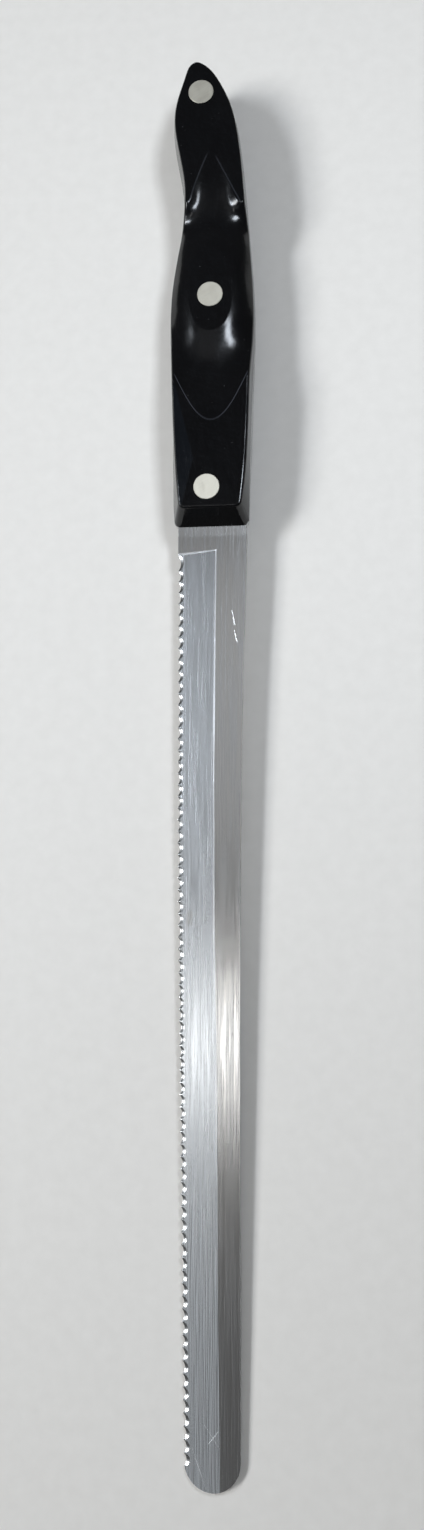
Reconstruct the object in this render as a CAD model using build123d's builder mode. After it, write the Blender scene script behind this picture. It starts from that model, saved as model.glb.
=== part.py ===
"""Serrated carving knife with a full tang, two sculpted handle scales and three two-piece rivets."""

import os
from math import atan2, cos, degrees, hypot, radians, sin

from build123d import *
from build123d import SkipClean

os.makedirs("parts", exist_ok=True)

# All lengths are in millimetres. The knife is drawn about the middle plane of its steel, with the
# front of the handle at Y = 0, the butt at +Y, the tip at -Y and the cutting edge on the -X side.
# At the end every piece is tipped together into the attitude in which the knife lies on a table.

# Sizes that several pieces share
handle_length = 136.5
handle_width = 23.9
handle_thickness = 17.0
steel_thickness = 2.0
front_corner_radius = 2.0
tang_corner_radius = 1.6
overrun = 1.0
half_steel = steel_thickness / 2
panel_height = handle_thickness / 2

# Outline of the tang and of the scales where they lie on it, from just ahead of the front corner on the
# finger side, round the butt, to the same place on the spine side. Each pair is a share of the handle's
# width across and of its length from the front, where the outline is then cut off square.
tang_outline_shares = (
    (-0.414, -0.022), (-0.450, 0.044), (-0.453, 0.095), (-0.491, 0.370), (-0.477, 0.491), (-0.339, 0.703),
    (-0.443, 0.817), (-0.464, 0.868), (-0.335, 0.974), (-0.258, 0.996), (-0.184, 1.000), (-0.109, 0.995),
    (0.138, 0.944), (0.230, 0.908), (0.343, 0.813), (0.439, 0.623), (0.500, 0.418), (0.481, 0.330),
    (0.433, 0.095), (0.427, 0.044), (0.413, -0.022),
)

# Outline of the scales in the plane of their flat panels, point for point beside the one above. It is
# the smaller one, so the side walls lean in and the butt slopes back. The front wall is one flat slope.
panel_outline_shares = (
    (-0.333, 0.000), (-0.366, 0.051), (-0.387, 0.095), (-0.450, 0.370), (-0.435, 0.491), (-0.297, 0.703),
    (-0.397, 0.813), (-0.418, 0.861), (-0.285, 0.954), (-0.230, 0.974), (-0.167, 0.980), (-0.105, 0.977),
    (0.100, 0.936), (0.197, 0.901), (0.324, 0.813), (0.420, 0.623), (0.481, 0.418), (0.462, 0.330),
    (0.402, 0.095), (0.372, 0.051), (0.322, 0.000),
)

# Rivets: their places on the handle, and what their holes take from them
rivet_place_shares = {"front": (-0.038, 0.064), "middle": (0.000, 0.467), "butt": (-0.109, 0.912)}
rivet_head_diameter = 7.14
rivet_head_thickness = 1.5
rivet_tube_diameter = 4.8
rivet_shank_diameter = 3.2
rivet_clearance = 0.03
rivet_places = {
    name: (across * handle_width, along * handle_length)
    for name, (across, along) in rivet_place_shares.items()
}
rivet_hole_radius = rivet_tube_diameter / 2 + rivet_clearance


def side_at(shares, along):
    """Gives how far across an outline runs at a station, between its two nearest points."""
    for (across, station), (next_across, next_station) in zip(shares, shares[1:]):
        if min(station, next_station) <= along <= max(station, next_station):
            return across + (next_across - across) * (along - station) / (next_station - station)
    return min(shares[0], shares[-1], key=lambda share: abs(share[1] - along))[0]


tang_outline = [(across * handle_width, along * handle_length) for across, along in tang_outline_shares]
outline_pace = [0.0]
for (across, along), (next_across, next_along) in zip(tang_outline, tang_outline[1:]):
    outline_pace.append(outline_pace[-1] + hypot(next_across - across, next_along - along))


def handle_outline(shares):
    """Draws one outline of the handle, its points at the same pace as those of the tang's outline."""
    with BuildSketch(mode=Mode.PRIVATE) as outline:
        with BuildLine():
            points = [(across * handle_width, along * handle_length) for across, along in shares]
            add(Edge.make_spline(points, parameters=outline_pace))
            Line(points[-1], points[0])
        make_face()
    return outline.sketch


# Blade, in one piece with its tang

blade_exposed = 247.65
heel_half_width = 9.55
heel_overlap = 3.0
tip_radius = 7.1
tip_aside = 0.1
tip_centre = Vector(tip_aside, tip_radius - blade_exposed)

# The line of the tooth points, and the spine. Each pair is a share of the heel's half width across and
# of the exposed blade's length from the handle.
edge_line_shares = (
    (-0.985, -0.030), (-0.990, -0.182), (-0.984, -0.347), (-0.932, -0.516), (-0.859, -0.695),
    (-0.770, -0.913),
)
spine_line_shares = (
    (0.759, -0.816), (0.757, -0.618), (0.763, -0.517), (0.778, -0.412), (0.812, -0.303), (0.855, -0.194),
    (0.900, -0.129), (0.945, -0.085), (0.994, -0.005),
)

# The flat grind, from the line where it leaves the flank down to the edge, on both faces. It begins at a
# slanting plunge line just in front of the handle. Shares as above.
grind_line_shares = (
    (0.097, -0.027), (0.075, -0.129), (0.040, -0.283), (0.051, -0.444), (0.108, -0.565), (0.141, -0.686),
    (0.163, -0.816), (0.212, -0.957), (0.230, -1.020),
)
plunge_slant = 4.9
edge_thickness = 0.22

# The narrow bevel along the spine: station, and width as a share of its greatest width. It fades in near
# the handle and runs out round the tip, where a station is a share of a quarter turn.
spine_bevel_width = 1.3
spine_bevel_drop = 0.45
spine_bevel_shares = (
    (-0.075, 0.02), (-0.129, 0.35), (-0.194, 0.70), (-0.303, 0.72), (-0.412, 0.85), (-0.618, 1.00),
    (-0.816, 1.00),
)
tip_bevel_shares = ((0.00, 0.95), (0.33, 0.90), (0.66, 0.60), (1.00, 0.02))

# The teeth: gullets ground slantwise from the upper face, side by side along the edge
first_tooth = 12.0
last_tooth_before_tip = 5.75
first_gullet_start = 7.7
tooth_pitch = 3.11
tooth_land = 0.12
tooth_depth = 0.75
gullet_lean = 65.0


def blade_points(shares):
    """Turns shares of the exposed blade into points."""
    return [(across * heel_half_width, along * blade_exposed) for across, along in shares]


edge_points = blade_points(edge_line_shares)
spine_points = blade_points(spine_line_shares)
tip_edge_side = tip_centre - Vector(tip_radius, 0)
tip_spine_side = tip_centre + Vector(tip_radius, 0)


def edge_at(station):
    """Gives how far across the points of the teeth stand at a station of the blade."""
    return side_at([*edge_points, (tip_edge_side.X, tip_edge_side.Y)], station)


edge_line = Edge.make_spline([*edge_points, tip_edge_side], tangents=[(0, -1), (0, -1)])
spine_line = Edge.make_spline([tip_spine_side, *spine_points], tangents=[(0, 1), (0, 1)])

with BuildPart() as edge_grind:
    for across, along in grind_line_shares:
        start = across * heel_half_width
        edge = edge_at(along * blade_exposed)
        slope = (half_steel - edge_thickness / 2) / (start - edge)
        slant = radians(plunge_slant) if along == grind_line_shares[0][1] else 0
        station = Plane(
            (0, along * blade_exposed), x_dir=(cos(slant), sin(slant), 0), z_dir=(sin(slant), -cos(slant), 0)
        )
        with BuildSketch(station):
            with BuildLine():
                Polyline(
                    (start + overrun, half_steel + overrun * slope),
                    (edge - overrun, edge_thickness / 2 - overrun * slope),
                    (edge - overrun, half_steel + overrun * slope),
                    close=True,
                )
            make_face()
    loft()
    mirror(about=Plane.XY)

bevel_stations = [
    (Vector(side_at(spine_line_shares, along) * heel_half_width, along * blade_exposed), 0, share)
    for along, share in spine_bevel_shares
]
for quarter, share in tip_bevel_shares:
    turn = -90 * quarter
    bevel_stations.append((tip_centre + Vector(tip_radius, 0).rotate(Axis.Z, turn), turn, share))

with BuildPart() as spine_grind:
    slope = spine_bevel_drop / spine_bevel_width
    for place, turn, share in bevel_stations:
        width = share * spine_bevel_width
        outward = Vector(1, 0).rotate(Axis.Z, turn)
        with BuildSketch(Plane(place, x_dir=outward, z_dir=outward.cross(Vector(0, 0, 1)))):
            with BuildLine():
                Polyline(
                    (-width - overrun, half_steel + overrun * slope),
                    (overrun, half_steel - (width + overrun) * slope),
                    (overrun, half_steel + overrun * slope),
                    close=True,
                )
            make_face()
    loft()
    mirror(about=Plane.XY)

lean = radians(gullet_lean)
half_land = tooth_land / 2
tooth_run = blade_exposed - last_tooth_before_tip - first_tooth
gullets = round(tooth_run / tooth_pitch)
tooth_stations = [first_tooth + tooth_run * index / gullets for index in range(gullets + 1)]
tooth_tips = [
    ((edge_at(-station) + heel_half_width) * cos(lean), -station)
    for station in [first_gullet_start, *tooth_stations]
]

with BuildPart() as gullet_grind:
    with BuildSketch(
        Plane(
            (-heel_half_width, 0, -edge_thickness / 2),
            x_dir=(cos(lean), 0, -sin(lean)),
            z_dir=(sin(lean), 0, cos(lean)),
        )
    ):
        with BuildLine():
            for (upper_x, upper_y), (lower_x, lower_y) in zip(tooth_tips, tooth_tips[1:]):
                bottom = ((upper_x + lower_x) / 2 + tooth_depth * cos(lean), (upper_y + lower_y) / 2)
                ThreePointArc((upper_x, upper_y - half_land), bottom, (lower_x, lower_y + half_land))
            for tip_x, tip_y in tooth_tips[1:-1]:
                Line((tip_x, tip_y + half_land), (tip_x, tip_y - half_land))
            first_tip = (tooth_tips[0][0], tooth_tips[0][1] - half_land)
            last_tip = (tooth_tips[-1][0], tooth_tips[-1][1] + half_land)
            Polyline(last_tip, (-heel_half_width, last_tip[1]), (-heel_half_width, first_tip[1]), first_tip)
        make_face()
    extrude(amount=heel_half_width, both=True)

# The tang and the exposed blade are one solid, but their flanks stay faces of their own, so that the
# exposed flank can be told from what the scales lie on.
with BuildPart() as blade:
    with BuildSketch(Plane.XY.offset(-half_steel)) as tang:
        add(handle_outline(tang_outline_shares))
        split(bisect_by=Plane.ZX)
        fillet(tang.vertices().group_by(Axis.Y)[0], tang_corner_radius)
        with Locations(*rivet_places.values()):
            Circle(rivet_hole_radius, mode=Mode.SUBTRACT)
    extrude(amount=steel_thickness)
    with BuildSketch(Plane.XY.offset(-half_steel)):
        with BuildLine():
            Line((edge_points[0][0], heel_overlap), edge_points[0])
            add(edge_line)
            CenterArc(tip_centre, tip_radius, 180, 180)
            add(spine_line)
            Polyline(
                spine_points[-1], (spine_points[-1][0], heel_overlap), (edge_points[0][0], heel_overlap)
            )
        make_face()
    with SkipClean():
        extrude(amount=steel_thickness)
        for ground_away in (edge_grind, spine_grind, gullet_grind):
            add(ground_away.part, mode=Mode.SUBTRACT)

# Scales

panel_edge_radius = 0.8
panel_setback = 3.0
front_wall = Plane((0, 0, half_steel), x_dir=(1, 0, 0), z_dir=(0, panel_height - half_steel, -panel_setback))

# Heights of the sculpted grip against the flat panels, as shares of its greatest depth. Each row is one
# station along the handle: its share of the handle's length, then the heights in the middle, half way
# out, at four fifths of the half width and at the side. Where they are above 0 the panel stays flat.
sculpt_depth = 5.2
sculpt_across_shares = (0.0, 0.5, 0.8, 1.0)
sculpt_reach_share = 1.15
sculpt_rows = 46
sculpt_columns = 25
sculpt_rise_shares = (
    (0.161, 0.17, 0.28, 0.50, 0.68),
    (0.198, 0.01, 0.12, 0.32, 0.50),
    (0.227, -0.09, 0.00, 0.20, 0.36),
    (0.264, -0.18, -0.13, 0.07, 0.22),
    (0.300, -0.23, -0.24, -0.12, 0.02),
    (0.337, -0.20, -0.28, -0.33, -0.38),
    (0.366, -0.09, -0.23, -0.44, -0.63),
    (0.396, 0.02, -0.12, -0.46, -0.79),
    (0.432, 0.10, -0.02, -0.38, -0.85),
    (0.476, 0.13, 0.01, -0.31, -0.81),
    (0.520, 0.10, -0.02, -0.37, -0.85),
    (0.564, 0.02, -0.15, -0.46, -0.88),
    (0.593, -0.12, -0.31, -0.57, -0.96),
    (0.623, -0.33, -0.42, -0.64, -1.00),
    (0.645, -0.31, -0.35, -0.42, -0.48),
    (0.667, -0.23, -0.21, 0.04, 0.19),
    (0.696, -0.14, -0.06, 0.23, 0.48),
    (0.733, -0.05, 0.07, 0.42, 0.69),
    (0.777, 0.00, 0.19, 0.58, 0.86),
    (0.850, 0.17, 0.40, 0.80, 1.08),
)


def refine(rows, parameters, count):
    """Puts a smooth curve through each column of points and returns more rows on those curves."""
    curves = [Edge.make_spline(list(column), parameters=list(parameters)) for column in zip(*rows)]
    return [[curve @ (step / (count - 1)) for curve in curves] for step in range(count)]


half_shares = (*sculpt_across_shares, sculpt_reach_share)
across_shares = (*[-share for share in reversed(half_shares[1:])], *half_shares)
outline_middle = len(tang_outline_shares) // 2
sculpt_points = []
for along, *rises in sculpt_rise_shares:
    finger = side_at(tang_outline_shares[:outline_middle], along)
    spine = side_at(tang_outline_shares[outline_middle:], along)
    side_slope = (rises[-1] - rises[-2]) / (sculpt_across_shares[-1] - sculpt_across_shares[-2])
    rises.append(rises[-1] + side_slope * (sculpt_reach_share - sculpt_across_shares[-1]))
    rises = [*reversed(rises[1:]), *rises]
    sculpt_points.append(
        [
            Vector(
                (finger + spine + share * (spine - finger)) / 2 * handle_width,
                along * handle_length,
                panel_height + rise * sculpt_depth,
            )
            for share, rise in zip(across_shares, rises)
        ]
    )
fine_rows = refine(sculpt_points, [row[0] for row in sculpt_rise_shares], sculpt_rows)
fine_points = refine(list(zip(*fine_rows)), across_shares, sculpt_columns)
sculpted_grip = Face.make_surface_from_array_of_points(fine_points, min_deg=3, max_deg=3)

with BuildPart() as scale_upper:
    for height, shares in ((half_steel, tang_outline_shares), (panel_height, panel_outline_shares)):
        with BuildSketch(Plane.XY.offset(height)):
            add(handle_outline(shares))
    loft(ruled=True)
    split(bisect_by=front_wall)
    corners = [edge for edge in scale_upper.edges() if (edge @ 0).Z != (edge @ 1).Z]
    fillet(corners, front_corner_radius)
    extrude(sculpted_grip, amount=2 * sculpt_depth, dir=(0, 0, 1), mode=Mode.SUBTRACT)
    upper_edges = ShapeList()
    for face in scale_upper.faces():
        if face.bounding_box().min.Z > half_steel + overrun:
            upper_edges += [edge for edge in face.edges() if edge not in upper_edges]
    fillet(upper_edges, panel_edge_radius)
    with Locations(*[(across, along, panel_height) for across, along in rivet_places.values()]):
        CounterBoreHole(rivet_hole_radius, rivet_head_diameter / 2 + rivet_clearance, rivet_head_thickness)

with BuildPart() as scale_lower:
    mirror(scale_upper.part, about=Plane.XY)

# Rivets: each has a half with a solid shank, pressed from above into a half with a tube

rivet_rim_chamfer = 0.12
rivet_end_gap = 0.4
head_seat = panel_height - rivet_head_thickness

with BuildPart() as rivet_male:
    with BuildSketch(Plane.XY.offset(head_seat)):
        Circle(rivet_head_diameter / 2)
    extrude(amount=rivet_head_thickness)
    chamfer(rivet_male.edges().group_by(Axis.Z)[-1], rivet_rim_chamfer)
    with BuildSketch(Plane.XY.offset(head_seat)):
        Circle(rivet_shank_diameter / 2)
    extrude(amount=-(2 * head_seat - rivet_end_gap))

with BuildPart() as rivet_female:
    with BuildSketch(Plane.XY.offset(-panel_height)):
        Circle(rivet_head_diameter / 2)
    extrude(amount=rivet_head_thickness)
    chamfer(rivet_female.edges().group_by(Axis.Z)[0], rivet_rim_chamfer)
    with BuildSketch(Plane.XY.offset(-head_seat)):
        Circle(rivet_tube_diameter / 2)
        Circle(rivet_shank_diameter / 2 + rivet_clearance, mode=Mode.SUBTRACT)
    extrude(amount=2 * head_seat - rivet_end_gap)

# Resting attitude: the front edge of the lower scale's panel and the blade's tip both touch the table

pieces = {"blade": blade.part, "scale_upper": scale_upper.part, "scale_lower": scale_lower.part}
for name, place in rivet_places.items():
    pieces[f"rivet_{name}_male"] = rivet_male.part.moved(Location(place))
    pieces[f"rivet_{name}_female"] = rivet_female.part.moved(Location(place))

flank_tip = blade.faces().filter_by(Plane.XY).group_by(Axis.Z)[0].vertices().sort_by(Axis.Y)[0]
panel_front = scale_lower.faces().filter_by(Plane.XY).group_by(Axis.Z)[0].vertices().sort_by(Axis.Y)[0]
tilt = degrees(atan2(flank_tip.Z - panel_front.Z, panel_front.Y - flank_tip.Y))
tipped = Location((0, 0, 0), (tilt, 0, 0))
outer = blade.part.moved(tipped).bounding_box()
lowest = min((tipped * Pos(*corner)).position.Z for corner in (flank_tip, panel_front))
table = Location((-outer.center().X, -outer.center().Y, -lowest))
for name, piece in pieces.items():
    resting = piece.moved(table * tipped)
    resting.label = name
    export_step(resting, f"parts/{name}.step")
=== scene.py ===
from math import pi, radians

import bpy
from mathutils import Matrix, Vector


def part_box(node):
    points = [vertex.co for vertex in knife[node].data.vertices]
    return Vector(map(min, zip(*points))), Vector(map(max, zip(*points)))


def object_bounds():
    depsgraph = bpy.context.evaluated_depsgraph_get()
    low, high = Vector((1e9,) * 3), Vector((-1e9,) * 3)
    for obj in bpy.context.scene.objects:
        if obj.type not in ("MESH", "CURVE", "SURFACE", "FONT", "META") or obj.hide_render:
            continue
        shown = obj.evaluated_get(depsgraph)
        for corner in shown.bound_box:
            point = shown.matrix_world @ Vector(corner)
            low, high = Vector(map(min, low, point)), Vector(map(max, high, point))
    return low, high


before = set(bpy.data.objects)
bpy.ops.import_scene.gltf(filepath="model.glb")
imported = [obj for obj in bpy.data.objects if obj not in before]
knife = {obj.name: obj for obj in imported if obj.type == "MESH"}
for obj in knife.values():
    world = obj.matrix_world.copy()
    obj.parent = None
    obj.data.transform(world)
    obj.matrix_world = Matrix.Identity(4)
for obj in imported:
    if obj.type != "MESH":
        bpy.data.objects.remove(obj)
cad_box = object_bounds()

# Blade. One strip of stainless steel, 2 mm thick, that runs on through the handle as its tang. Its flanks
# are satin ground along their length, the long bevel is ground over that, and the gullets of the teeth
# are ground last, from the upper face only, and left bright.

# Places on a surface are in millimetres: across the knife from its middle, where the middle rivet sits,
# and along it from the heel, where the scales begin. The blade's places along it are below zero. The
# middle and the heel are rounded to a hundredth of a millimetre.
to_millimetres = 1000
middle_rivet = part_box("rivet_middle_male")
knife_middle_x = round((middle_rivet[0].x + middle_rivet[1].x) / 2, 5)
heel_line_y = round((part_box("scale_upper")[0].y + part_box("scale_lower")[0].y) / 2, 5)


class Level:
    """A number that changes over a surface: a socket that can stand in a sum."""

    def __init__(self, finish, socket):
        self.finish, self.socket = finish, socket

    def math(self, operation, *values):
        """Passes values or levels through one Math node."""
        made = self.finish.node("ShaderNodeMath", {"operation": operation}, dict(enumerate(values)))
        return Level(self.finish, made.outputs[0])

    def __add__(self, other):
        return self.math("ADD", self, other)

    def __sub__(self, other):
        return self.math("SUBTRACT", self, other)

    def __rsub__(self, other):
        return self.math("SUBTRACT", other, self)

    def __mul__(self, other):
        return self.math("MULTIPLY", self, other)

    def __abs__(self):
        return self.math("ABSOLUTE", self)

    __radd__ = __add__
    __rmul__ = __mul__

    def above(self, floor):
        """Is the level itself, but never less than a floor."""
        return self.math("MAXIMUM", self, floor)

    def rise(self, low, high):
        """Goes smoothly from 0 at low to 1 at high."""
        made = self.finish.node(
            "ShaderNodeMapRange",
            {"interpolation_type": "SMOOTHSTEP"},
            {"Value": self, "From Min": low, "From Max": high},
        )
        return Level(self.finish, made.outputs[0])

    def within(self, low, high, edge):
        """Is 1 between low and high and fades out over an edge on both sides."""
        return self.rise(low - edge, low) * (1 - self.rise(high, high + edge))

    def near(self, close, far):
        """Is 1 where the level is close to 0 on either side, and fades out where it is far from it."""
        return 1 - abs(self).rise(close, far)


class Finish:
    """A surface finish: one material, and one method that makes any of its nodes."""

    def __init__(self, name):
        self.material = bpy.data.materials.new(name)
        self.material.use_nodes = True
        self.tree = self.material.node_tree
        self.tree.nodes.clear()
        surface = self.node("ShaderNodeTexCoord")
        self.place = surface.outputs["Object"]
        split = self.node("ShaderNodeSeparateXYZ", {}, {0: self.place})
        self.across = (Level(self, split.outputs[0]) - knife_middle_x) * to_millimetres
        self.along = (Level(self, split.outputs[1]) - heel_line_y) * to_millimetres
        facing = self.node("ShaderNodeSeparateXYZ", {}, {0: surface.outputs["Normal"]})
        self.facing_x = Level(self, facing.outputs[0])
        self.facing_z = Level(self, facing.outputs[2])

    def node(self, kind, settings=None, inputs=None):
        """Adds a node, gives it its settings first and then the values or links of its sockets."""
        made = self.tree.nodes.new(kind)
        for name, value in (settings or {}).items():
            setattr(made, name, value)
        for name, value in (inputs or {}).items():
            if isinstance(value, Level):
                value = value.socket
            if isinstance(value, bpy.types.NodeSocket):
                self.tree.links.new(value, made.inputs[name])
            else:
                made.inputs[name].default_value = value
        return made

    def grain(self, across, along, up, detail=2.0, turn=0.0, seed=0.0):
        """Gives a noise of about 0 to 1 with so many lumps to the metre in each direction."""
        lump = (1 / across, 1 / along, 1 / up)
        spread = self.node(
            "ShaderNodeMapping",
            {"vector_type": "TEXTURE"},
            {"Vector": self.place, "Location": (seed, seed, seed), "Rotation": (0, 0, turn), "Scale": lump},
        )
        noise = self.node(
            "ShaderNodeTexNoise", {}, {"Vector": spread.outputs[0], "Scale": 1, "Detail": detail}
        )
        return Level(self, noise.outputs[0])

    def scratch(self, start, end, width, fade=0.4):
        """Gives the mark of one scratch between two places, which fades out beyond its ends."""
        run = (end[0] - start[0], end[1] - start[1])
        length = (run[0] ** 2 + run[1] ** 2) ** 0.5
        way = (run[0] / length, run[1] / length)
        forward = (self.across - start[0]) * way[0] + (self.along - start[1]) * way[1]
        aside = (self.across - start[0]) * -way[1] + (self.along - start[1]) * way[0]
        return aside.near(width / 2, width) * forward.within(0, length, fade)

    def blend(self, share, first, second):
        """Mixes two colours, with a share of the second from 0 to 1."""
        made = self.node(
            "ShaderNodeMix", {"data_type": "RGBA", "clamp_factor": True}, {0: share, 6: first, 7: second}
        )
        return made.outputs[2]

    def bumps(self, height, depth):
        """Turns a level into a relief that is so many millimetres deep."""
        made = self.node(
            "ShaderNodeBump", {}, {"Strength": 1, "Distance": depth / to_millimetres, "Height": height}
        )
        return made.outputs[0]

    def close(self, base, roughness, metallic, normal, **constants):
        """Closes the material, with more values that are the same all over it, and gives it back."""
        inputs = {"Base Color": base, "Roughness": roughness, "Metallic": metallic, "Normal": normal}
        shader = self.node("ShaderNodeBsdfPrincipled", {}, inputs | constants)
        self.node("ShaderNodeOutputMaterial", {}, {0: shader.outputs[0]})
        return self.material


def dress(piece, material):
    """Puts one material on all of a piece."""
    if not piece.material_slots:
        piece.data.materials.append(material)
    for material_slot in piece.material_slots:
        material_slot.material = material


flank_grey = (0.82, 0.81, 0.79, 1)
bevel_grey = (0.70, 0.73, 0.755, 1)
streak_grey = (0.48, 0.49, 0.50, 1)
stain_brown = (0.38, 0.36, 0.33, 1)
gullet_grey = (0.62, 0.62, 0.61, 1)
painted_glint_white = (0.97, 0.98, 1.0, 1)
scratch_grey = (0.85, 0.85, 0.85, 1)
satin_roughness = 0.18
streak_depth = 0.04

# The corner that the grind of the bevel leaves: across the blade at its plunge, then on towards the tip.
grind_corner = [(-9.4, -7.6), (0.93, -6.7), (0.72, -31.9), (0.38, -70.1)]
grind_corner += [(0.49, -110), (1.03, -139.9), (1.35, -169.9), (1.56, -202.1)]
painted_glint_width = 0.22

# Each scratch has two ends and a width. Four are near the tip and two near the heel.
steel_scratches = [
    ((-4.9, -237.5), (-1.5, -246.6), 0.10),
    ((-4.2, -239.8), (-2.4, -244.0), 0.08),
    ((-1.7, -232.0), (1.9, -237.0), 0.09),
    ((-0.6, -236.0), (1.6, -233.2), 0.08),
    ((5.4, -24.0), (6.1, -27.6), 0.08),
    ((6.0, -29.5), (6.7, -32.4), 0.08),
]

steel = Finish("satin_ground_steel")
towards_edge = -1 * steel.facing_x
bevel = towards_edge.rise(0.03, 0.06) * steel.facing_z.rise(0.1, 0.4)
tooth = towards_edge.rise(0.25, 0.5)
coarse = steel.grain(1100, 1.5, 1100, detail=0)
fine = steel.grain(3400, 4, 3400, detail=0, seed=3)
tint = steel.grain(300, 12, 300, seed=7)
cloud = steel.grain(160, 60, 160, detail=4, seed=11)
streaks = coarse * 0.25 + fine * 0.6
dull = (coarse * 0.55 + fine * 0.45).rise(0.3, 0.7)
heel_band = steel.along.within(-2.4, 0.5, 0.8)
stain = steel.across.within(-6.6, -5.5, 0.4) * steel.along.within(-108.0, -104.8, 0.8)
scratches = sum(steel.scratch(*scratch) for scratch in steel_scratches)
# A thin painted highlight runs along the grind corner and fades out towards the tip.
painted_glint = sum(steel.scratch(start, end, painted_glint_width) for start, end in zip(grind_corner, grind_corner[1:]))
painted_glint = painted_glint * steel.along.rise(-200, -110)

steel_grey = steel.blend(bevel, flank_grey, bevel_grey)
steel_grey = steel.blend(dull * 0.45 + tint * 0.10 + cloud * 0.08, steel_grey, streak_grey)
steel_grey = steel.blend(stain * 0.4, steel_grey, stain_brown)
steel_grey = steel.blend(tooth, steel_grey, gullet_grey)
# Painted highlight: the glint along the grind corner, lightened towards white.
steel_grey = steel.blend(painted_glint * 0.7, steel_grey, painted_glint_white)
steel_grey = steel.blend(scratches * 0.3, steel_grey, scratch_grey)
steel_roughness = satin_roughness + dull * 0.06 + bevel * 0.04 + (cloud - 0.5) * 0.02 + heel_band * 0.04
steel_roughness = steel_roughness + scratches * 0.12 + stain * 0.01 - tooth * 0.04 + painted_glint * 0.12
steel_relief = steel.bumps(streaks + scratches * 0.2, streak_depth)
dress(knife["blade"], steel.close(steel_grey, steel_roughness, 1.0, steel_relief))

# Handle scales. Two halves moulded in glossy black resin, with a flat panel at each end and a sculpted
# grip between them, hollowed for thumb and finger. Years in a drawer have hazed the crown of the grip, and
# the creases round it carry a painted highlight. Each is held flat against the tang by the three rivets.

deep_black = (0.0012, 0.0012, 0.0015, 1)
hazed_black = (0.0032, 0.0034, 0.0042, 1)
hairline_grey = (0.020, 0.022, 0.026, 1)
dust_grey = (0.10, 0.10, 0.10, 1)
painted_reflection_blue = (0.004, 0.006, 0.009, 1)
crease_highlight_grey = (0.060, 0.064, 0.075, 1)
gloss_roughness = 0.13
relief_depth = 0.012
resin_refraction = 1.45
front_panel = (4, 37)
grip = (33, 100)
front_crease_start = 27.3
rear_crease_start = 90

resin = Finish("polished_black_resin")
upward = resin.facing_z.rise(0.75, 0.92)
haze = resin.grain(180, 90, 180, detail=5, seed=2)
orange_peel = resin.grain(420, 420, 420, detail=1, seed=5)
scuffs = resin.grain(2600, 130, 2600, detail=3, turn=radians(14), seed=9)
cross_scuffs = resin.grain(150, 2400, 150, detail=3, turn=radians(-20), seed=4)
hairlines = (scuffs - 0.5).near(0.004, 0.02) + (cross_scuffs - 0.5).near(0.003, 0.014)
dust = resin.grain(900, 900, 900, detail=2, seed=12).rise(0.74, 0.80)
crown = resin.along.within(*grip, 9) * resin.across.near(5, 11)

# The front crease is a U that opens backwards where the front panel ends. Its painted highlight is brighter
# at its sides.
side = resin.across - 0.3
side_squared = side * side
bow = side_squared * 0.157 - side_squared * side_squared * 0.00024
front_crease_highlight = resin.along - front_crease_start - bow
front_crease_highlight = front_crease_highlight.near(0.10, 0.42) * side.near(9.5, 10.5)
front_crease_highlight = front_crease_highlight * (0.35 + abs(side).rise(0, 8) * 0.65)

# Two more creases close on each other as they run back, in a V where the grip meets the rear panel. They
# carry a weaker painted highlight.
back = resin.along - rear_crease_start
left_crease_highlight = resin.across + 6.08 - back * 0.2596 - back * back * 0.0059
left_crease_highlight = left_crease_highlight.near(0.08, 0.35) * resin.along.within(91, 104, 2)
right_crease_highlight = resin.across - 8.54 + back * 0.487
right_crease_highlight = right_crease_highlight.near(0.08, 0.35) * resin.along.within(89, 103, 2)
crease_highlights = (front_crease_highlight + (left_crease_highlight + right_crease_highlight) * 0.4) * upward

# A faint facet lies on the left of the front panel, beyond a line that is bent in its middle. Its bluish
# tint is a painted reflection.
facet_and_painted_reflection = (-4.4 - abs(resin.along - 16.5) * 0.237 - resin.across).above(0)
facet_and_painted_reflection = facet_and_painted_reflection * resin.along.within(*front_panel, 1) * upward

resin_black = resin.blend(haze * 0.5, deep_black, hazed_black)
resin_black = resin.blend(hairlines * 0.12 * upward, resin_black, hairline_grey)
resin_black = resin.blend(dust * 0.35 * upward, resin_black, dust_grey)
# Painted reflection: a bluish tint on the facet.
resin_black = resin.blend(facet_and_painted_reflection.rise(0, 0.3) * 0.5, resin_black, painted_reflection_blue)
# Painted highlight: a lighter grey along the creases.
resin_black = resin.blend(crease_highlights * 0.55, resin_black, crease_highlight_grey)
resin_roughness = gloss_roughness + (haze - 0.5) * 0.10 + crown * 0.05 + hairlines * 0.04 + crease_highlights * 0.1
resin_relief = resin.bumps(orange_peel + hairlines * 0.05 + facet_and_painted_reflection * 9, relief_depth)
black_resin = resin.close(resin_black, resin_roughness, 0.0, resin_relief, IOR=resin_refraction)
dress(knife["scale_upper"], black_resin)
dress(knife["scale_lower"], black_resin)

# Rivets. Three two-piece rivets of nickel silver, pressed together through the tang and ground flush with
# the panels. Their faces are dulled by fine scratches in all directions.

nickel_pale = (0.80, 0.755, 0.64, 1)
nickel_dull = (0.67, 0.64, 0.55, 1)
nickel_dark = (0.50, 0.49, 0.45, 1)
worn_roughness = 0.46
nickel_metallic = 0.85
worn_depth = 0.01

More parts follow.
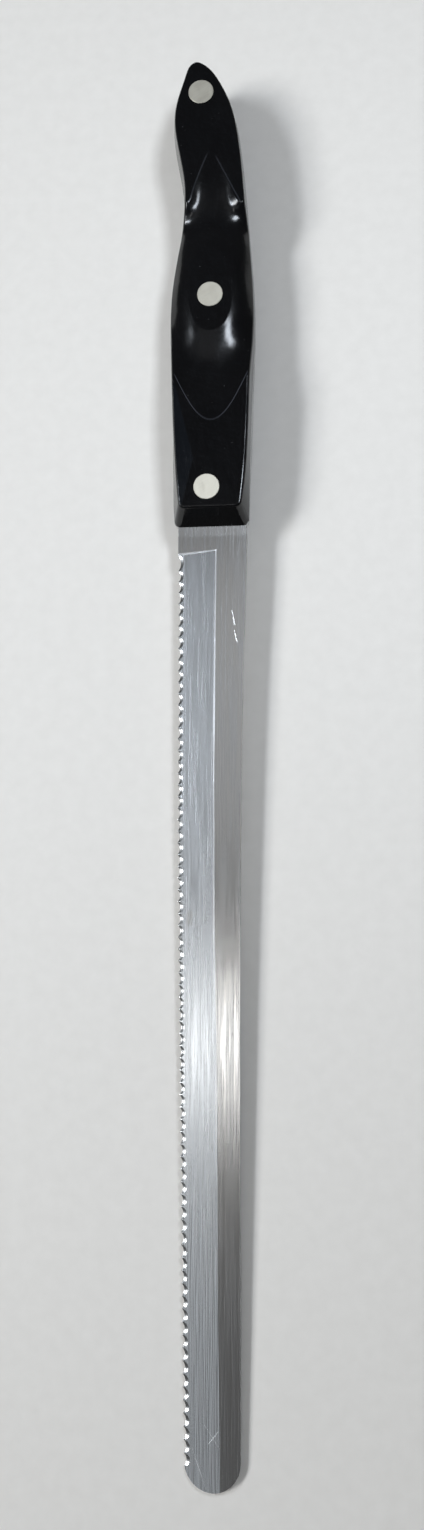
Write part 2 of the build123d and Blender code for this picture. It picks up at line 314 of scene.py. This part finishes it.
nickel = Finish("worn_nickel_silver")
lengthwise = nickel.grain(2600, 160, 2600, detail=3, turn=radians(8), seed=1)
crosswise = nickel.grain(170, 2400, 170, detail=3, turn=radians(31), seed=6)
patches = nickel.grain(380, 420, 380, detail=4, seed=8)
nickel_grey = nickel.blend(patches, nickel_pale, nickel_dull)
nickel_grey = nickel.blend((crosswise - 0.4) * 0.5, nickel_grey, nickel_dark)
nickel_roughness = worn_roughness + (patches - 0.5) * 0.2 + (lengthwise - 0.5) * 0.1
nickel_relief = nickel.bumps(lengthwise + crosswise, worn_depth)
nickel_silver = nickel.close(nickel_grey, nickel_roughness, nickel_metallic, nickel_relief)
for name, piece in knife.items():
    if name.startswith("rivet"):
        dress(piece, nickel_silver)

# Table. A plain pale stone top under the knife, faintly mottled, and wide enough to fill the picture
# from above.

table_size = 2.6
stone_light = (0.71, 0.68, 0.635, 1)
stone_lighter = (0.745, 0.715, 0.67, 1)
stone_roughness = 0.6
stone_depth = 0.02

bpy.ops.object.select_all(action="DESELECT")
bpy.ops.mesh.primitive_plane_add(size=table_size, location=(0, 0, cad_box[0][2]))
table = bpy.context.object
table.name = "table_top"
stone = Finish("pale_stone")
mottle = stone.grain(260, 260, 260, detail=5)
stone_pale = stone.blend((mottle - 0.5) * 2 + 0.5, stone_light, stone_lighter)
stone_relief = stone.bumps(mottle, stone_depth)
dress(table, stone.close(stone_pale, stone_roughness, 0.0, stone_relief))

# Light. A soft window high on the left throws the shadows to the right. Two small lamps, one on each side,
# draw the long highlights on the grip, a strip lamp above the blade crosses it with a bright band, and
# faint glows fill the rest. The room is dim: only the camera sees it as a pale backdrop.

room_colour = (0.97, 0.98, 1.0, 1)
room_strength = 0.08
backdrop_strength = 0.72
daylight = (0.94, 0.97, 1.0)
cool_light = (0.84, 0.91, 1.0)
strip_light = (1.0, 0.99, 0.98)
glow_light = (0.98, 0.99, 1.0)

world = bpy.data.worlds.new("room")
bpy.context.scene.world = world
world.use_nodes = True
backdrop = world.node_tree.nodes["Background"]
backdrop.inputs["Color"].default_value = room_colour
seen = world.node_tree.nodes.new("ShaderNodeLightPath")
seen_strength = world.node_tree.nodes.new("ShaderNodeMapRange")
seen_strength.inputs["To Min"].default_value = room_strength
seen_strength.inputs["To Max"].default_value = backdrop_strength
world.node_tree.links.new(seen.outputs["Is Camera Ray"], seen_strength.inputs["Value"])
world.node_tree.links.new(seen_strength.outputs[0], backdrop.inputs["Strength"])


def soft_light(name, place, target, width, length, strength, colour):
    """Adds a rectangular lamp at a place in metres that faces a target, its length along the knife."""
    bpy.ops.object.light_add(type="AREA", location=place)
    lamp = bpy.context.object
    lamp.name = name
    lamp.data.shape = "RECTANGLE"
    lamp.data.size, lamp.data.size_y = width, length
    watts_to_the_square_metre = strength * pi ** 2
    lamp.data.energy = watts_to_the_square_metre * width * length
    lamp.data.color = colour
    away = (lamp.location - Vector(target)).normalized()
    sideways = Vector((0, 1, 0)).cross(away).normalized()
    lamp.rotation_euler = Matrix((sideways, away.cross(sideways), away)).transposed().to_euler()


# Each lamp has a place, a target, a width across the knife, a length along it, a strength and a colour.
soft_light("left_window", (-1.16, -0.20, 1.16), (0, -0.10, 0), 0.40, 0.52, 7.5, daylight)
soft_light("left_lamp", (-0.43, 0.13, 0.56), (0, 0.10, 0), 0.085, 0.16, 11.0, cool_light)
soft_light("right_window", (0.165, 0.146, 0.424), (0, 0.14, 0), 0.08, 0.15, 8.6, cool_light)
soft_light("ceiling_lamp", (-0.27, -0.265, 1.40), (0, -0.07, 0), 0.56, 0.08, 1.50, strip_light)
soft_light("ceiling_glow", (-0.20, 0.23, 1.40), (0, 0, 0), 0.60, 0.46, 0.08, glow_light)
soft_light("left_glow", (-0.50, -0.58, 1.10), (0, 0, 0), 0.34, 0.80, 0.12, daylight)

# Camera. It looks down from over the middle of the blade, a little to the side of the spine, with the
# handle at the top of the picture.

camera_place = (0.0319386, -0.0616277, 0.3219624)
camera_turn = (radians(9.22796), radians(5.7839), radians(0.22102))
picture_height = 1530
focal_length_in_pixels = 1200
sensor_size = 36

bpy.ops.object.camera_add(location=camera_place, rotation=camera_turn)
camera = bpy.context.object
camera.data.sensor_width = sensor_size
camera.data.lens = sensor_size * focal_length_in_pixels / picture_height
camera.data.clip_start = 0.01
bpy.context.scene.camera = camera
bpy.context.scene.view_settings.view_transform = "Standard"
